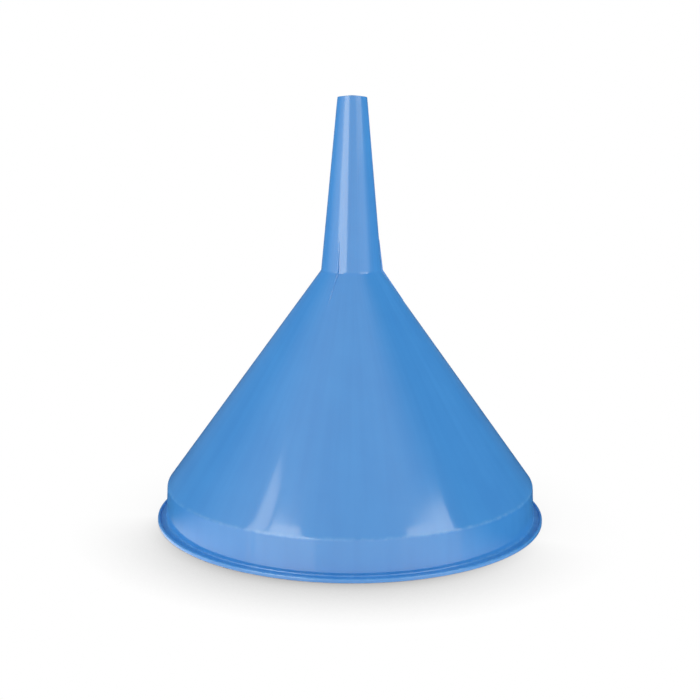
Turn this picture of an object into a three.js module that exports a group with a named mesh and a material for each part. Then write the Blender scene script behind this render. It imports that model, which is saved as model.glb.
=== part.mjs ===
// A one-piece moulded household funnel, standing on its mouth with the spout up.
// Millimetres, +Z up. The origin is the centre of the mouth, in the plane that it stands on.
// The moulding is divided at its own creases into rim, collar, cone and spout, which meet face
// to face on level planes, and three low vent ribs that stand on the outside.
import * as THREE from "three";

// Mouth rim
const mouthDiameter = 200;
const flangeThickness = 1.3;
const lipHeight = 1.9;
const lipWidth = 1.2;
const lipSlope = 0.3;
const rimEdgeRadius = 0.6;
const rimUndersideRadius = 0.3;
const rimFootFillet = 0.7;

// Collar: the short band between the rim and the cone
const collarFootDiameter = 191.2;
const collarTopDiameter = 189.5;

// Cone and spout
const shoulderHeight = 18.25;
const shoulderRadius = 2.5;
const spoutRootHeight = 127.8;
const spoutRootDiameter = 30.7;
const spoutRootFillet = 2.4;
const funnelHeight = 214.2;
const spoutTipDiameter = 14.7;
const tipOuterRounding = 0.35;
const tipInnerRounding = 0.2;

// Walls
const bodyWall = 1.4;
const spoutWall = 1.3;

// Vent ribs: low ridges outside the root of the spout, highest in the crease and running out
// up the spout and down the cone
const ribCount = 3;
const firstRibDirection = THREE.MathUtils.degToRad(-116.5);
const ribWidth = 0.9;
const ribReachAtRoot = 0.9;
const ribEndHeight = 0.45;
const ribRise = 15.5;
const ribDrop = 15.5;
const ribGap = 0.3;

// Smoothness
const turns = 80;
const arcSteps = 4;
const tolerance = 1e-6;

const moulded = { color: 0x4d8acb, roughness: 0.3, metalness: 0 };

const point = (radius, height) => new THREE.Vector2(radius, height);

// The corners of the outer surface, from the foot of the collar to the end of the spout.
const foot = point(collarFootDiameter / 2, flangeThickness);
const shoulder = point(collarTopDiameter / 2, shoulderHeight);
const root = point(spoutRootDiameter / 2, spoutRootHeight);
const tip = point(spoutTipDiameter / 2, funnelHeight);
const coneSlope = Math.atan((shoulder.x - root.x) / (root.y - shoulder.y));

// The line from a to b, moved sideways by a distance: to the left of its direction if positive.
function besideLine(a, b, distance) {
  const along = b.clone().sub(a).normalize();
  const sideways = point(-along.y, along.x).multiplyScalar(distance);
  return { start: a.clone().add(sideways), along };
}

// The radius of a line at a height.
function radiusAt(line, height) {
  const travel = (height - line.start.y) / line.along.y;
  return line.start.x + travel * line.along.x;
}

// Where two lines cross.
function crossing(first, second) {
  const between = second.start.clone().sub(first.start);
  const travel = between.cross(second.along) / first.along.cross(second.along);
  return first.start.clone().addScaledVector(first.along, travel);
}

// The points of an arc that rounds a corner between two straight runs.
function roundedCorner(before, corner, after, radius) {
  const toBefore = before.clone().sub(corner).normalize();
  const toAfter = after.clone().sub(corner).normalize();
  const halfAngle = Math.acos(toBefore.dot(toAfter)) / 2;
  const setback = radius / Math.tan(halfAngle);
  const middle = toBefore.clone().add(toAfter).normalize();
  const centre = corner.clone().addScaledVector(middle, radius / Math.sin(halfAngle));
  const start = corner.clone().addScaledVector(toBefore, setback).sub(centre);
  const end = corner.clone().addScaledVector(toAfter, setback).sub(centre);
  const sweep = Math.atan2(start.cross(end), start.dot(end));
  const points = [];
  for (let step = 0; step <= arcSteps; step += 1) {
    const turned = start.clone().rotateAround(point(0, 0), (sweep * step) / arcSteps);
    points.push(turned.add(centre));
  }
  return points;
}

// A run of points through corners, each with its own rounding radius (0 keeps it sharp).
function roundedRun(corners, closed) {
  const count = corners.length;
  return corners.flatMap(({ at, radius }, index) => {
    const isEnd = !closed && (index === 0 || index === count - 1);
    if (isEnd || radius === 0) return [at.clone()];
    const before = corners[(index + count - 1) % count].at;
    const after = corners[(index + 1) % count].at;
    return roundedCorner(before, at, after, radius);
  });
}

// The point of a rising run at a height.
function pointAt(run, height) {
  const index = Math.max(1, run.findIndex((p) => p.y >= height - tolerance));
  const lower = run[index - 1];
  const upper = run[index];
  return lower.clone().lerp(upper, (height - lower.y) / (upper.y - lower.y));
}

// The stretch of a rising run between two heights.
function between(run, low, high) {
  const inside = run.filter((p) => p.y > low + tolerance && p.y < high - tolerance);
  return [pointAt(run, low), ...inside, pointAt(run, high)];
}

// The inner surface lies one wall inside the outer one.
const innerCollarLine = besideLine(foot, shoulder, bodyWall);
const innerConeLine = besideLine(shoulder, root, bodyWall);
const innerSpoutLine = besideLine(root, tip, spoutWall);
const innerShoulder = crossing(innerCollarLine, innerConeLine);
const innerRoot = crossing(innerConeLine, innerSpoutLine);
const mouthEdge = point(radiusAt(innerCollarLine, 0), 0);
const tipInside = point(radiusAt(innerSpoutLine, funnelHeight), funnelHeight);

const outerRun = roundedRun([
  { at: foot, radius: 0 },
  { at: shoulder, radius: shoulderRadius },
  { at: root, radius: spoutRootFillet },
  { at: tip, radius: 0 },
], false);
const innerRun = roundedRun([
  { at: mouthEdge, radius: 0 },
  { at: innerShoulder, radius: shoulderRadius - bodyWall },
  { at: innerRoot, radius: spoutRootFillet + bodyWall },
  { at: tipInside, radius: 0 },
], false);

// The level planes between the sections: above the rim's foot, where the shoulder's rounding
// starts, and where the fillet at the root of the spout starts.
const rimTop = flangeThickness + 2 * rimFootFillet;
const collarTop = outerRun[1].y;
const coneTop = outerRun[arcSteps + 2].y;

// A solid of revolution about the vertical axis, from a closed outline.
function turned(outline) {
  const geometry = new THREE.LatheGeometry([...outline, outline[0].clone()], turns);
  return geometry.rotateX(Math.PI / 2);
}

// A stretch of the wall between two level planes.
function wallSection(low, high) {
  const outside = between(outerRun, low, high);
  const inside = between(innerRun, low, high).reverse();
  return turned([...outside, ...inside]);
}

function rimGeometry() {
  const edge = mouthDiameter / 2;
  const outline = roundedRun([
    { at: mouthEdge, radius: 0 },
    { at: point(edge, 0), radius: rimUndersideRadius },
    { at: point(edge, lipHeight), radius: rimEdgeRadius },
    { at: point(edge - lipWidth, lipHeight), radius: 0 },
    { at: point(edge - lipWidth - lipSlope, flangeThickness), radius: 0 },
    { at: foot, radius: rimFootFillet },
    { at: pointAt(outerRun, rimTop), radius: 0 },
    { at: pointAt(innerRun, rimTop), radius: 0 },
  ], true);
  return turned(outline);
}

function spoutGeometry() {
  const outside = between(outerRun, coneTop, funnelHeight).slice(0, -1);
  const inside = between(innerRun, coneTop, funnelHeight).slice(0, -1).reverse();
  const end = [
    ...roundedCorner(root, tip, tipInside, tipOuterRounding),
    ...roundedCorner(tip, tipInside, innerRoot, tipInnerRounding),
  ];
  return turned([...outside, ...end, ...inside]);
}

// The rib's side view: its back follows the outside of the spout and cone at a small gap, and
// its crest is two straight runs that meet beside the crease.
function ribGeometry() {
  const low = spoutRootHeight - ribDrop;
  const high = spoutRootHeight + ribRise;
  const outwards = ribGap / Math.cos(coneSlope);
  const back = between(outerRun, low, high).map((p) => point(p.x + outwards, p.y));
  const crest = [
    point(pointAt(outerRun, high).x + ribEndHeight, high),
    point(root.x + ribReachAtRoot, spoutRootHeight),
    point(pointAt(outerRun, low).x + ribEndHeight / Math.cos(coneSlope), low),
  ];
  const shape = new THREE.Shape([...back, ...crest]);
  const geometry = new THREE.ExtrudeGeometry(shape, { depth: ribWidth, bevelEnabled: false });
  geometry.translate(0, 0, -ribWidth / 2);
  return geometry.rotateX(Math.PI / 2);
}

function mesh(name, geometry) {
  const part = new THREE.Mesh(geometry, new THREE.MeshStandardMaterial(moulded));
  part.name = name;
  return part;
}

const funnel = new THREE.Group();
funnel.add(mesh("rim", rimGeometry()));
funnel.add(mesh("collar", wallSection(rimTop, collarTop)));
funnel.add(mesh("cone", wallSection(collarTop, coneTop)));
funnel.add(mesh("spout", spoutGeometry()));

for (let index = 0; index < ribCount; index += 1) {
  const rib = mesh(`vent_rib_${index + 1}`, ribGeometry());
  rib.rotation.z = firstRibDirection + (index * 2 * Math.PI) / ribCount;
  funnel.add(rib);
}

export default funnel;
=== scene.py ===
# %% [markdown]
# # A moulded plastic funnel
# This lesson dresses a plain household funnel. It stands on its mouth, with the spout up.
# The real one is a single injection moulding: a steel mould is filled with melted polypropylene,
# which cools, shrinks a little and comes out glossy. Its parts to the eye are the mouth's rim,
# a short collar, a long cone, a tapered spout and three low ribs where the spout meets the cone.
# The fixed frame holds the true sizes, and everything here is worked out from it, in metres.

import math

import bmesh
import bpy
from mathutils import Matrix, Vector


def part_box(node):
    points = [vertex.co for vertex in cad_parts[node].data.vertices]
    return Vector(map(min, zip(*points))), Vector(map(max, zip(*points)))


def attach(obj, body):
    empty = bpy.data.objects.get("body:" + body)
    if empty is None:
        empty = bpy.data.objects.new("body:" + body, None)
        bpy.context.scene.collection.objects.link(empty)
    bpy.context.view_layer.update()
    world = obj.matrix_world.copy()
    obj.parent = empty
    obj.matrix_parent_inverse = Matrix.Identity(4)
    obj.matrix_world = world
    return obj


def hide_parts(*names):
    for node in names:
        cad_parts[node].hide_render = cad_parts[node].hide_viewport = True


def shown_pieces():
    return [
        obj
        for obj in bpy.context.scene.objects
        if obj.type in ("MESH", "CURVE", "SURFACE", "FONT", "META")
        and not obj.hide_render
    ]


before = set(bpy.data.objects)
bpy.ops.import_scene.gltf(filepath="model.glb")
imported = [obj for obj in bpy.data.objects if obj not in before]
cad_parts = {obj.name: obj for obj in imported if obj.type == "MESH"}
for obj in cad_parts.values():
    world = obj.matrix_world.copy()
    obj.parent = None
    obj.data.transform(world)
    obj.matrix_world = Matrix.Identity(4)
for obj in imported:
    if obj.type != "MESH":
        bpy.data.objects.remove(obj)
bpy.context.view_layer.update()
MM = 0.001

# %% [markdown]
# ## Sizes
# Each round section of the frame gives its own widest radius and its two heights. Together they
# fix the outline of the wall: a foot, a shoulder, the root of the spout and its end. The few
# sizes that a box can't tell, such as the thickness of the wall, are named here.

# %% Sizes from the frame
def widest_radius(node):
    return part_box(node)[1].x


def heights(node):
    low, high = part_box(node)
    return low.z, high.z


MOUTH_RADIUS = widest_radius("rim")
RIM_TOP = heights("rim")[1]
COLLAR_TOP = heights("collar")[1]
CONE_TOP = heights("cone")[1]
FUNNEL_TOP = heights("spout")[1]
COLLAR_LOW_RADIUS = widest_radius("collar")
COLLAR_TOP_RADIUS = widest_radius("cone")
SPOUT_LOW_RADIUS = widest_radius("spout")
SPOUT_END_RADIUS = 7.35 * MM
BODY_WALL = 1.4 * MM
SPOUT_WALL = 1.3 * MM
SHOULDER_RADIUS = 2.5 * MM
ROOT_FILLET = 2.4 * MM
print("mouth radius mm:", round(MOUTH_RADIUS / MM, 2), "spout from mm:", round(CONE_TOP / MM, 2))

# %% [markdown]
# ## The corners of the section
# Cut the real funnel from end to end and the cut wall is one thin bent strip. Only its corners
# have to be placed: the mould maker's drawing gives them the same way, and rounds them after.
# The frame gives the points where each rounding starts, so each corner is found by walking on
# from there, along the straight run, by the setback that its rounding takes.

# %% Corners of the outside
def flat_point(radius, height):
    return Vector((radius, height))


CORNER_TRIES = 8


def corner_beyond(start, along, rounding, target):
    """The sharp corner ahead of start, where a rounding that starts there turns towards target."""
    corner = start.copy()
    for _ in range(CORNER_TRIES):
        turn = along.angle(target - corner)
        corner = start + along * rounding * math.tan(turn / 2)
    return corner


collar_low = flat_point(COLLAR_LOW_RADIUS, RIM_TOP)
shoulder_start = flat_point(COLLAR_TOP_RADIUS, COLLAR_TOP)
root_start = flat_point(SPOUT_LOW_RADIUS, CONE_TOP)
tip = flat_point(SPOUT_END_RADIUS, FUNNEL_TOP)

up_collar = (shoulder_start - collar_low).normalized()
shoulder = corner_beyond(shoulder_start, up_collar, SHOULDER_RADIUS, root_start)
up_cone = (root_start - shoulder).normalized()
root = corner_beyond(root_start, up_cone, ROOT_FILLET, tip)
up_spout = (tip - root).normalized()
print("shoulder mm:", [round(v / MM, 2) for v in shoulder], "root mm:", [round(v / MM, 2) for v in root])

# %% [markdown]
# The inside of a moulding follows its outside at one wall's distance, because a wall of even
# thickness cools evenly. Each inner corner is where two such inner lines cross.

# %% Corners of the inside
def inwards(point, along, wall):
    """A point moved square to a run that climbs the outside, towards the axis."""
    return point + Vector((-along.y, along.x)) * wall


def crossing(point_a, along_a, point_b, along_b):
    travel = (point_b - point_a).cross(along_b) / along_a.cross(along_b)
    return point_a + along_a * travel


LEVEL = Vector((1, 0))
in_collar = inwards(shoulder, up_collar, BODY_WALL)
in_cone = inwards(root, up_cone, BODY_WALL)
in_spout = inwards(tip, up_spout, SPOUT_WALL)
mouth_inside = crossing(in_collar, up_collar, flat_point(0, 0), LEVEL)
shoulder_inside = crossing(in_collar, up_collar, in_cone, up_cone)
root_inside = crossing(in_cone, up_cone, in_spout, up_spout)
tip_inside = crossing(in_spout, up_spout, tip, LEVEL)
print("bore at the end mm:", round(2 * tip_inside.x / MM, 2))

# %% [markdown]
# ## The rim
# The mouth is stiffened by a flange, and the flange by a low raised lip along its edge: without
# them so thin a wall would flap. The lip leaves a shallow groove between it and the collar.

# %% Corners of the rim
FLANGE = 1.3 * MM
LIP_HEIGHT = 1.9 * MM
LIP_WIDTH = 1.2 * MM
LIP_SLOPE = 0.3 * MM
SMALL_ROUNDING = 0.25 * MM
LIP_OUTER_ROUNDING = 0.6 * MM
LIP_INNER_ROUNDING = 0.35 * MM
FOOT_FILLET = 0.7 * MM
END_OUTER_ROUNDING = 0.35 * MM
END_INNER_ROUNDING = 0.2 * MM

foot = crossing(collar_low, up_collar, flat_point(0, FLANGE), LEVEL)
rim_edge_low = flat_point(MOUTH_RADIUS, 0)
rim_edge_high = flat_point(MOUTH_RADIUS, LIP_HEIGHT)
lip_inner_high = flat_point(MOUTH_RADIUS - LIP_WIDTH, LIP_HEIGHT)
lip_inner_low = flat_point(MOUTH_RADIUS - LIP_WIDTH - LIP_SLOPE, FLANGE)

# Each corner of the whole section in order round it, with the radius that rounds it.
SECTION = [
    (mouth_inside, SMALL_ROUNDING),
    (rim_edge_low, SMALL_ROUNDING),
    (rim_edge_high, LIP_OUTER_ROUNDING),
    (lip_inner_high, LIP_INNER_ROUNDING),
    (lip_inner_low, SMALL_ROUNDING),
    (foot, FOOT_FILLET),
    (shoulder, SHOULDER_RADIUS),
    (root, ROOT_FILLET),
    (tip, END_OUTER_ROUNDING),
    (tip_inside, END_INNER_ROUNDING),
    (root_inside, ROOT_FILLET + BODY_WALL),
    (shoulder_inside, SHOULDER_RADIUS - BODY_WALL),
]
print("corners in the section:", len(SECTION))

# %% [markdown]
# ## From a section to a solid
# The section is one flat face with sharp corners. A vertex bevel rounds each corner: for a
# radius r and a corner that opens by an angle, the bevel's offset is r over the tangent of half
# that angle. Two cuts with bisect_plane keep the stretch between two heights, and a full spin
# round the axis turns what is left into a ring. The alternative is to bevel after the spin,
# which has to round hundreds of edges and finds their loops again.

# %% Draw, round, slice and spin
BEVEL_STEPS = 8
SPIN_STEPS = 256
LONGEST_RUN = 5 * MM
SAME = 1e-7
CRISP_RING = 35
CRISP_RIB = 5


def opening_angle(before, corner, after):
    return (before - corner).angle(after - corner)


def draw_section(corners):
    """A bmesh with the whole section as one face in the XZ plane, its corners rounded."""
    bm = bmesh.new()
    verts = [bm.verts.new((at.x, 0, at.y)) for at, _ in corners]
    bm.faces.new(verts)
    count = len(corners)
    for index, (at, radius) in enumerate(corners):
        before = corners[index - 1][0]
        after = corners[(index + 1) % count][0]
        setback = radius / math.tan(opening_angle(before, at, after) / 2)
        bmesh.ops.bevel(
            bm, geom=[verts[index]], offset=setback, offset_type="OFFSET", affect="VERTICES",
            segments=BEVEL_STEPS, profile=0.5, material=-1,
        )
    return bm


def keep_between(bm, low, high):
    """Cuts the section at two heights and keeps what lies between them."""
    for height, side in ((low, -1), (high, 1)):
        everything = bm.verts[:] + bm.edges[:] + bm.faces[:]
        bmesh.ops.bisect_plane(
            bm, geom=everything, dist=SAME, plane_co=(0, 0, height), plane_no=(0, 0, side),
            clear_outer=True,
        )


def shorten_runs(bm, longest):
    """Divides the long straight runs, so that light and bump have points to follow."""
    for edge in list(bm.edges):
        cuts = int(edge.calc_length() / longest)
        if cuts:
            bmesh.ops.subdivide_edges(bm, edges=[edge], cuts=cuts)


def spin_ring(bm):
    """Spins the section's outline all the way round, and closes and turns out the skin."""
    bmesh.ops.delete(bm, geom=bm.faces[:], context="FACES_ONLY")
    bmesh.ops.spin(
        bm, geom=bm.verts[:] + bm.edges[:], cent=(0, 0, 0), axis=(0, 0, 1),
        angle=2 * math.pi, steps=SPIN_STEPS, use_merge=True,
    )
    bmesh.ops.remove_doubles(bm, verts=bm.verts[:], dist=SAME)
    bmesh.ops.recalc_face_normals(bm, faces=bm.faces[:])


def finish_mesh(bm, name, crisp_from):
    """Turns a bmesh into an object at the origin: smooth, and crisp from an angle in degrees up."""
    mesh = bpy.data.meshes.new(name)
    for face in bm.faces:
        face.smooth = True
    open_edges = sum(not edge.is_manifold for edge in bm.edges)
    bm.to_mesh(mesh)
    bm.free()
    mesh.set_sharp_from_angle(angle=math.radians(crisp_from))
    piece = bpy.data.objects.new(name, mesh)
    bpy.context.scene.collection.objects.link(piece)
    print(f"{name}: {len(mesh.polygons)} faces, {open_edges} open edges")
    return piece


def ring(name, low, high):
    """One stretch of the wall between two heights, as an object."""
    bm = draw_section(SECTION)
    keep_between(bm, low, high)
    shorten_runs(bm, LONGEST_RUN)
    spin_ring(bm)
    return finish_mesh(bm, name, CRISP_RING)


# %% [markdown]
# ## The four round pieces
# They are slices of one section, so their outsides run on into each other without a step. The
# slices are where the frame has them: above the rim's foot, where the shoulder starts to turn
# and where the fillet of the spout starts.

# %% Spin the rim, the collar, the cone and the spout
rim = ring("funnel_rim", -FLANGE, RIM_TOP)
collar = ring("funnel_collar", RIM_TOP, COLLAR_TOP)
cone = ring("funnel_cone", COLLAR_TOP, CONE_TOP)
spout = ring("funnel_spout", CONE_TOP, FUNNEL_TOP + FLANGE)

# %% [markdown]
# ## The vent ribs
# A funnel that sits tight in a bottle stops flowing, because the air can't get out. Three low
# ridges hold it a little off the glass. Each is highest in the crease between spout and cone and
# runs out both ways until it hardly stands proud. It is drawn as a side view, thickened by an
# extrude and bevelled along both sides of its crest, so that it is half round, and then turned
# into place. Its back lies inside the wall, because on the moulding the two are one.

# %% Make one rib
RIB_WIDTH = 1.2 * MM
RIB_REACH = 0.75 * MM
RIB_END = 0.2 * MM
RIB_SUNK = 1.0 * MM
RIB_ROUNDING = 0.57 * MM
RIB_ROUNDING_STEPS = 5
RIB_EDGE_ANGLE = math.radians(60)
FIRST_RIB_DIRECTION = math.radians(-116.5)
RIB_NODES = sorted(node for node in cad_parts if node.startswith("vent_rib"))
RIB_LOW, RIB_TOP = heights(RIB_NODES[0])


def on_spout(height):
    return crossing(tip, up_spout, flat_point(0, height), LEVEL)


def on_cone(height):
    return crossing(root, up_cone, flat_point(0, height), LEVEL)


def make_rib(name, direction):
    side_view = [
        on_spout(RIB_TOP) - LEVEL * RIB_SUNK,
        on_spout(RIB_TOP) + LEVEL * RIB_END,
        root + LEVEL * RIB_REACH,
        on_cone(RIB_LOW) + LEVEL * RIB_END,
        inwards(on_cone(RIB_LOW), up_cone, RIB_SUNK),
        inwards(root, up_cone, RIB_SUNK),
    ]
    bm = bmesh.new()
    verts = [bm.verts.new((at.x, -RIB_WIDTH / 2, at.y)) for at in side_view]
    bm.faces.new(verts)
    shorten_runs(bm, LONGEST_RUN)
    grown = bmesh.ops.extrude_face_region(bm, geom=bm.faces[:])
    moved = [item for item in grown["geom"] if isinstance(item, bmesh.types.BMVert)]
    bmesh.ops.translate(bm, verts=moved, vec=(0, RIB_WIDTH, 0))
    bmesh.ops.recalc_face_normals(bm, faces=bm.faces[:])
    rims = [edge for edge in bm.edges if edge.calc_face_angle(0) > RIB_EDGE_ANGLE
            and abs(edge.verts[0].co.y - edge.verts[1].co.y) < SAME]
    bmesh.ops.bevel(
        bm, geom=rims, offset=RIB_ROUNDING, offset_type="OFFSET", affect="EDGES",
        segments=RIB_ROUNDING_STEPS, profile=0.5, material=-1,
    )
    turn = Matrix.Rotation(direction, 3, "Z")
    bmesh.ops.rotate(bm, verts=bm.verts[:], cent=(0, 0, 0), matrix=turn)
    return finish_mesh(bm, name, CRISP_RIB)


# %% Three ribs, evenly round the spout
ribs = [
    make_rib(f"funnel_{node}", FIRST_RIB_DIRECTION + index * math.tau / len(RIB_NODES))
    for index, node in enumerate(RIB_NODES)
]

# %% [markdown]
# ## The end of the spout
# The very end isn't quite level: it rises to a faint ridge from front to back, where the two
# halves of the mould's end met. Only the last few millimetres move, and by half a millimetre.

# %% Lower the sides of the end
END_FALL = 0.55 * MM
END_LENGTH = 3 * MM


def shape_end(piece):
    for vert in piece.data.vertices:
        share = max(0, 1 - (FUNNEL_TOP - vert.co.z) / END_LENGTH)
        vert.co.z -= END_FALL * share * abs(vert.co.x) / SPOUT_END_RADIUS


shape_end(spout)

# %% [markdown]
# ## Hand the pieces to the frame
# Each piece stands for one part of the frame and rides on the frame's only body.

# %% Ride and replace
PIECES = [(rim, "rim"), (collar, "collar"), (cone, "cone"), (spout, "spout"), *zip(ribs, RIB_NODES)]
for piece, node in PIECES:
    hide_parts(node)
    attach(piece, "root")

# %% [markdown]
# ## The plastic
# The real skin is injection-moulded polypropylene, coloured through with a blue masterbatch. Its
# refractive index is 1.49. Right at the surface it copies the polished mould, which gives a thin
# sharp gloss; just under it the cooled plastic is cloudy. So the shader has two layers: a clear
# coat for the gloss, and a rough base that hardly mirrors, because both layers are one plastic.

# %% Material helpers
def srgb(code):
    """A colour written as sRGB hex, as the linear red, green and blue that shaders take."""
    parts = [int(code[i:i + 2], 16) / 255 for i in (1, 3, 5)]
    linear = [p / 12.92 if p <= 0.04045 else ((p + 0.055) / 1.055) ** 2.4 for p in parts]
    return (*linear, 1.0)


def add_node(tree, kind, settings=None, links=None):
    """Adds a node, sets its properties and input values, and links its inputs to nodes or sockets."""
    node = tree.nodes.new(kind)
    for key, value in (settings or {}).items():
        if isinstance(key, str) and hasattr(node, key):
            setattr(node, key, value)
        else:
            node.inputs[key].default_value = value
    for key, source in (links or {}).items():
        socket = source.outputs[0] if isinstance(source, bpy.types.Node) else source
        tree.links.new(socket, node.inputs[key])
    return node


# %% [markdown]
# Three things vary over the skin. The melt left faint streaks as it ran from the gate at the
# spout's end to the mouth, a few millimetres apart at the wide end, so they are drawn on the
# direction from the axis and fan out with the cone. The colour is mixed a touch unevenly. And
# handling has scuffed the edges that stand proud, which are a little paler and duller there:
# the lip of the mouth, the shoulder and the end of the spout. The coat's own roughness varies
# too, as the mould's polish does.

# %% The moulded skin
STREAKS_ROUND = 16
STREAK_LENGTH = 60 * MM
CLOUD_SIZE = 22 * MM
GRAIN_SIZE = 0.5 * MM
GRAIN_DEPTH = 0.004 * MM
WAVE_SIZE = 30 * MM
WAVE_DEPTH = 0.02 * MM
SCUFF_SIZE = 3 * MM
SCUFF_REACH = 1.4 * MM
SCUFF_SHARE = 0.4
SCUFF_DULLING = 0.3
POLISH = (0.07, 0.11)
HAZE = (0.38, 0.46)
PLASTIC_IOR = 1.49
COAT_WEIGHT = 0.5
BASE_MIRRORING = 0.05
DEEP_BLUE = "#3983C7"
PLAIN_BLUE = "#3D89CC"
SCUFFED_BLUE = "#6CA4D1"


def moulded_polypropylene():
    material = bpy.data.materials.new("moulded_polypropylene_blue")
    material.use_nodes = True
    tree = material.node_tree
    shader = tree.nodes["Principled BSDF"]
    place = add_node(tree, "ShaderNodeTexCoord").outputs["Object"]
    axes = add_node(tree, "ShaderNodeSeparateXYZ", {}, {0: place})

    level = add_node(tree, "ShaderNodeVectorMath", {"operation": "MULTIPLY", 1: (1, 1, 0)}, {0: place})
    outwards = add_node(tree, "ShaderNodeVectorMath", {"operation": "NORMALIZE"}, {0: level})
    fan = add_node(
        tree, "ShaderNodeVectorMath",
        {"operation": "MULTIPLY", 1: (STREAKS_ROUND, STREAKS_ROUND, 0)}, {0: outwards},
    )
    along = add_node(
        tree, "ShaderNodeVectorMath",
        {"operation": "MULTIPLY", 1: (0, 0, 1 / STREAK_LENGTH)}, {0: place},
    )
    flow = add_node(tree, "ShaderNodeVectorMath", {"operation": "ADD"}, {0: fan, 1: along})
    streaks = add_node(tree, "ShaderNodeTexNoise", {"Scale": 1, "Detail": 2}, {"Vector": flow})
    clouds = add_node(tree, "ShaderNodeTexNoise", {"Scale": 1 / CLOUD_SIZE, "Detail": 3}, {"Vector": place})
    grain = add_node(tree, "ShaderNodeTexNoise", {"Scale": 1 / GRAIN_SIZE, "Detail": 1}, {"Vector": place})
    waves = add_node(tree, "ShaderNodeTexNoise", {"Scale": 1 / WAVE_SIZE, "Detail": 0}, {"Vector": place})
    scuffs = add_node(tree, "ShaderNodeTexNoise", {"Scale": 1 / SCUFF_SIZE, "Detail": 4}, {"Vector": place})

    uneven = add_node(tree, "ShaderNodeMix", {0: 0.5}, {2: streaks, 3: clouds})
    shade = add_node(
        tree, "ShaderNodeMapRange", {"From Min": 0.35, "From Max": 0.65}, {"Value": uneven},
    )

    reaches = []
    for height in (LIP_HEIGHT, shoulder.y, FUNNEL_TOP):
        away = add_node(tree, "ShaderNodeMath", {"operation": "SUBTRACT", 1: height}, {0: axes.outputs["Z"]})
        distance = add_node(tree, "ShaderNodeMath", {"operation": "ABSOLUTE"}, {0: away})
        reaches.append(add_node(
            tree, "ShaderNodeMapRange",
            {"interpolation_type": "SMOOTHSTEP", "From Min": SCUFF_REACH, "From Max": 0},
            {"Value": distance},
        ))
    edge = add_node(tree, "ShaderNodeMath", {"operation": "MAXIMUM"}, {0: reaches[0], 1: reaches[1]})
    edge = add_node(tree, "ShaderNodeMath", {"operation": "MAXIMUM"}, {0: edge, 1: reaches[2]})
    patchy = add_node(
        tree, "ShaderNodeMapRange",
        {"From Min": 0.35, "From Max": 0.75, "To Max": SCUFF_SHARE}, {"Value": scuffs},
    )
    worn = add_node(tree, "ShaderNodeMath", {"operation": "MULTIPLY"}, {0: edge, 1: patchy})

    blue = add_node(
        tree, "ShaderNodeMix",
        {"data_type": "RGBA", 6: srgb(DEEP_BLUE), 7: srgb(PLAIN_BLUE)}, {0: shade},
    ).outputs[2]
    colour = add_node(
        tree, "ShaderNodeMix", {"data_type": "RGBA", 7: srgb(SCUFFED_BLUE)}, {0: worn, 6: blue},
    ).outputs[2]
    haze = add_node(
        tree, "ShaderNodeMapRange", {"To Min": HAZE[0], "To Max": HAZE[1]}, {"Value": clouds},
    )
    polish = add_node(
        tree, "ShaderNodeMapRange", {"To Min": POLISH[0], "To Max": POLISH[1]}, {"Value": clouds},
    )
    gloss = add_node(
        tree, "ShaderNodeMath", {"operation": "MULTIPLY_ADD", 1: SCUFF_DULLING}, {0: worn, 2: polish},
    )
    wavy = add_node(tree, "ShaderNodeBump", {"Strength": 1, "Distance": WAVE_DEPTH}, {"Height": waves})
    skin = add_node(
        tree, "ShaderNodeBump", {"Strength": 1, "Distance": GRAIN_DEPTH}, {"Height": grain, "Normal": wavy},
    )

    for name, source in (("Base Color", colour), ("Roughness", haze.outputs[0]),
                         ("Normal", skin.outputs[0]), ("Coat Roughness", gloss.outputs[0]),
                         ("Coat Normal", wavy.outputs[0])):
        tree.links.new(source, shader.inputs[name])
    for name, value in (("IOR", PLASTIC_IOR), ("Specular IOR Level", BASE_MIRRORING),
                        ("Coat IOR", PLASTIC_IOR), ("Coat Weight", COAT_WEIGHT)):
        shader.inputs[name].default_value = value
    return material


PLASTIC = moulded_polypropylene()
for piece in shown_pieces():
    piece.data.materials.append(PLASTIC)

# %% [markdown]
# ## The studio
# A gloss shows what stands round it, so the studio has to be built too. The room lights the
# colour from all round, and most from the two sides, which keeps the outline from going dark.
# What a reflection meets is less even: it is bright in front, most of all low down, dim behind,
# and a dark card to the right takes the sheen off that side. The background is white for the
# camera and through glass.

# %% The room
WHITE = (1, 1, 1, 1)
ROOM_LEVEL = 0.65
ROOM_SIDES = 2.9
GLOSS_FRONT = 3.2
GLOSS_BACK = 0.12
GLOSS_LOW = 1.4
CARD_DIRECTION = (0.80, 0.38, 0.46)
CARD_EDGE = 0.5
CARD_CORE = 0.96
CARD_LEVEL = 0


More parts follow.
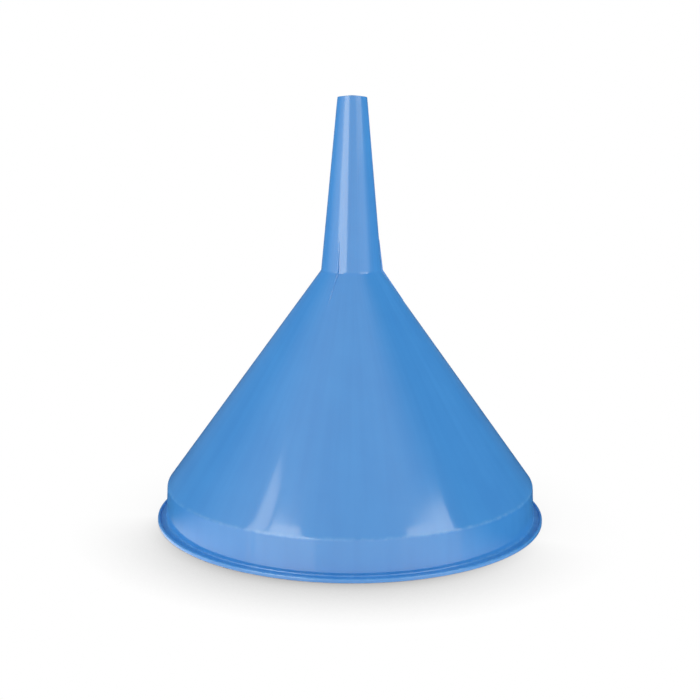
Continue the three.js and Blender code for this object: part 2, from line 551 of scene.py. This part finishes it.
def grey_room():
    world = bpy.data.worlds.new("grey_room")
    bpy.context.scene.world = world
    world.use_nodes = True
    tree = world.node_tree
    towards = add_node(tree, "ShaderNodeTexCoord").outputs["Generated"]
    axes = add_node(tree, "ShaderNodeSeparateXYZ", {}, {0: towards})
    sideways = axes.outputs["X"]
    sides = add_node(tree, "ShaderNodeMath", {"operation": "POWER", 1: 4}, {0: sideways})
    even = add_node(
        tree, "ShaderNodeMath", {"operation": "MULTIPLY_ADD", 1: ROOM_SIDES, 2: ROOM_LEVEL}, {0: sides},
    )
    front = add_node(
        tree, "ShaderNodeMapRange",
        {"interpolation_type": "SMOOTHSTEP", "From Min": 0.5, "From Max": -0.5},
        {"Value": axes.outputs["Y"]},
    )
    sheen = add_node(tree, "ShaderNodeMix", {2: GLOSS_BACK, 3: GLOSS_FRONT}, {0: front})
    near_card = add_node(
        tree, "ShaderNodeVectorMath", {"operation": "DOT_PRODUCT", 1: CARD_DIRECTION}, {0: towards},
    ).outputs["Value"]
    card = add_node(
        tree, "ShaderNodeMapRange",
        {"interpolation_type": "SMOOTHSTEP", "From Min": CARD_EDGE, "From Max": CARD_CORE,
         "To Min": 1, "To Max": CARD_LEVEL},
        {"Value": near_card},
    )
    low = add_node(
        tree, "ShaderNodeMapRange",
        {"From Min": 0.15, "From Max": 0.7, "To Min": GLOSS_LOW, "To Max": 1},
        {"Value": axes.outputs["Z"]},
    )
    sheen = add_node(tree, "ShaderNodeMath", {"operation": "MULTIPLY"}, {0: sheen, 1: low})
    gloss = add_node(tree, "ShaderNodeMath", {"operation": "MULTIPLY"}, {0: sheen, 1: card})
    rays = add_node(tree, "ShaderNodeLightPath").outputs
    lit = add_node(tree, "ShaderNodeMix", {}, {0: rays["Is Glossy Ray"], 2: even, 3: gloss})
    clear = add_node(
        tree, "ShaderNodeMath", {"operation": "MAXIMUM"},
        {0: rays["Is Camera Ray"], 1: rays["Is Transmission Ray"]},
    )
    strength = add_node(tree, "ShaderNodeMix", {3: 1}, {0: clear, 2: lit})
    sky = tree.nodes["Background"]
    sky.inputs["Color"].default_value = WHITE
    tree.links.new(strength.outputs[0], sky.inputs["Strength"])


grey_room()
print("room level:", ROOM_LEVEL, "to", ROOM_LEVEL + ROOM_SIDES)

# %% [markdown]
# ## The floor
# It is white board with a slight gloss. The camera sees pure white, darkened only where the
# funnel keeps the light out, which ambient occlusion finds, and more so in front. The funnel
# sees the board as it would be lit: bright in front, where the lamps stand, dim at the back.

# %% The floor
FLOOR_HALF_SIDE = 6
SHADOW_REACH = 50 * MM
SHADOW_DEPTH = 1.8
SHADOW_BEHIND = 0.15
BOARD_GLOW = 4.0
BOARD_BRIGHT_WAY = (-0.17, -0.985, 0)
BOARD_COLOUR = 0.9
BOARD_ROUGHNESS = 0.12


def studio_floor():
    bm = bmesh.new()
    bmesh.ops.create_grid(bm, x_segments=1, y_segments=1, size=FLOOR_HALF_SIDE)
    mesh = bpy.data.meshes.new("studio_floor")
    bm.to_mesh(mesh)
    bm.free()
    floor = bpy.data.objects.new("studio_floor", mesh)
    bpy.context.scene.collection.objects.link(floor)
    material = bpy.data.materials.new("white_board")
    material.use_nodes = True
    tree = material.node_tree
    rays = add_node(tree, "ShaderNodeLightPath").outputs
    paper = add_node(tree, "ShaderNodeBsdfDiffuse", {"Color": (BOARD_COLOUR,) * 3 + (1,)})

    place = add_node(tree, "ShaderNodeTexCoord").outputs["Object"]
    outwards = add_node(tree, "ShaderNodeVectorMath", {"operation": "NORMALIZE"}, {0: place})
    near_bright = add_node(
        tree, "ShaderNodeVectorMath", {"operation": "DOT_PRODUCT", 1: BOARD_BRIGHT_WAY}, {0: outwards},
    ).outputs["Value"]
    glow = add_node(
        tree, "ShaderNodeMapRange",
        {"interpolation_type": "SMOOTHSTEP", "From Min": 0.25, "From Max": 0.85, "To Max": BOARD_GLOW},
        {"Value": near_bright},
    )
    board = tree.nodes["Principled BSDF"]
    board.inputs["Base Color"].default_value = (0, 0, 0, 1)
    board.inputs["Roughness"].default_value = BOARD_ROUGHNESS
    board.inputs["Emission Color"].default_value = WHITE
    tree.links.new(glow.outputs[0], board.inputs["Emission Strength"])

    sky = add_node(tree, "ShaderNodeAmbientOcclusion", {"samples": 16, "Distance": SHADOW_REACH})
    strength = add_node(
        tree, "ShaderNodeMapRange",
        {"From Min": 0.25, "From Max": 0.95, "To Min": SHADOW_BEHIND, "To Max": SHADOW_DEPTH},
        {"Value": near_bright},
    )
    depth = add_node(
        tree, "ShaderNodeMath", {"operation": "POWER"}, {0: sky.outputs["AO"], 1: strength},
    )
    backdrop = add_node(tree, "ShaderNodeEmission", {"Color": WHITE}, {"Strength": depth})

    lit = add_node(tree, "ShaderNodeMixShader", {}, {0: rays["Is Glossy Ray"], 1: paper, 2: board})
    seen = add_node(tree, "ShaderNodeMixShader", {}, {0: rays["Is Camera Ray"], 1: lit, 2: backdrop})
    tree.links.new(seen.outputs[0], tree.nodes["Material Output"].inputs["Surface"])
    mesh.materials.append(material)
    return floor


floor = studio_floor()

# %% [markdown]
# ## The soft boxes
# Two light panels and a narrow strip stand in front. They draw the bright stripes down the
# spout, the pale peaks above the shoulder and the fine line along it. A lamp object is always a
# true rectangle, and these are seen aslant, so each is a glowing sheet whose corners are placed
# by azimuth and elevation. Azimuth 0 is in front, and positive is to the right.

# %% Light panels
PANEL_DISTANCE = 5.0
LAMP_WHITE = "#FFF7E6"


def panel_corner(azimuth, elevation):
    turn = math.radians(azimuth)
    level = Vector((math.sin(turn), -math.cos(turn), 0)) * PANEL_DISTANCE
    return level + Vector((0, 0, PANEL_DISTANCE * math.tan(math.radians(elevation))))


def light_panel(name, corners, low, high):
    """A sheet seen only in reflections; its corners go round from the lower left. Its radiance
    goes from low at its bottom to high at its top."""
    bm = bmesh.new()
    bm.faces.new([bm.verts.new(panel_corner(*corner)) for corner in corners])
    mesh = bpy.data.meshes.new(name)
    bm.to_mesh(mesh)
    bm.free()
    material = bpy.data.materials.new(f"{name}_glow")
    material.use_nodes = True
    tree = material.node_tree
    tops = [vert.co.z for vert in mesh.vertices]
    place = add_node(tree, "ShaderNodeTexCoord").outputs["Object"]
    axes = add_node(tree, "ShaderNodeSeparateXYZ", {}, {0: place})
    radiance = add_node(
        tree, "ShaderNodeMapRange",
        {"From Min": min(tops), "From Max": max(tops), "To Min": low, "To Max": high},
        {"Value": axes.outputs["Z"]},
    )
    glow = add_node(tree, "ShaderNodeEmission", {"Color": srgb(LAMP_WHITE)}, {"Strength": radiance})
    tree.links.new(glow.outputs[0], tree.nodes["Material Output"].inputs["Surface"])
    mesh.materials.append(material)
    panel = bpy.data.objects.new(name, mesh)
    bpy.context.scene.collection.objects.link(panel)
    panel.visible_camera = False
    panel.visible_diffuse = False
    panel.visible_shadow = False
    return panel


light_panel("left_strip", [(-71.5, 37.5), (-59.5, 3), (-60, 45.8), (-68.3, 44.9)], 9.6, 9.6)
light_panel("left_panel", [(-57, 3), (-16, 3), (-37, 48.2), (-58, 44.6)], 12.4, 12.4)
light_panel("right_panel", [(28, 11), (68, 11), (74.5, 40.2), (42, 46.8)], 6.4, 11)

# %% [markdown]
# ## The camera
# It stands a little over half a metre away, at the height of the spout, and looks slightly down.

# %% Camera
CAMERA_DISTANCE = 565.9 * MM
CAMERA_HEIGHT = 188.4 * MM
CAMERA_DIP = 10.21
CAMERA_ROLL = 0.32
camera_data = bpy.data.cameras.new("camera")
camera_data.lens = 57.45
camera_data.sensor_width = 36
camera_data.shift_x = -0.0013
camera = bpy.data.objects.new("camera", camera_data)
camera.location = (0, -CAMERA_DISTANCE, CAMERA_HEIGHT)
dip = Matrix.Rotation(math.radians(90 - CAMERA_DIP), 4, "X")
camera.rotation_euler = (dip @ Matrix.Rotation(math.radians(CAMERA_ROLL), 4, "Z")).to_euler()
bpy.context.scene.collection.objects.link(camera)
bpy.context.scene.camera = camera
bpy.context.scene.view_settings.view_transform = "Standard"
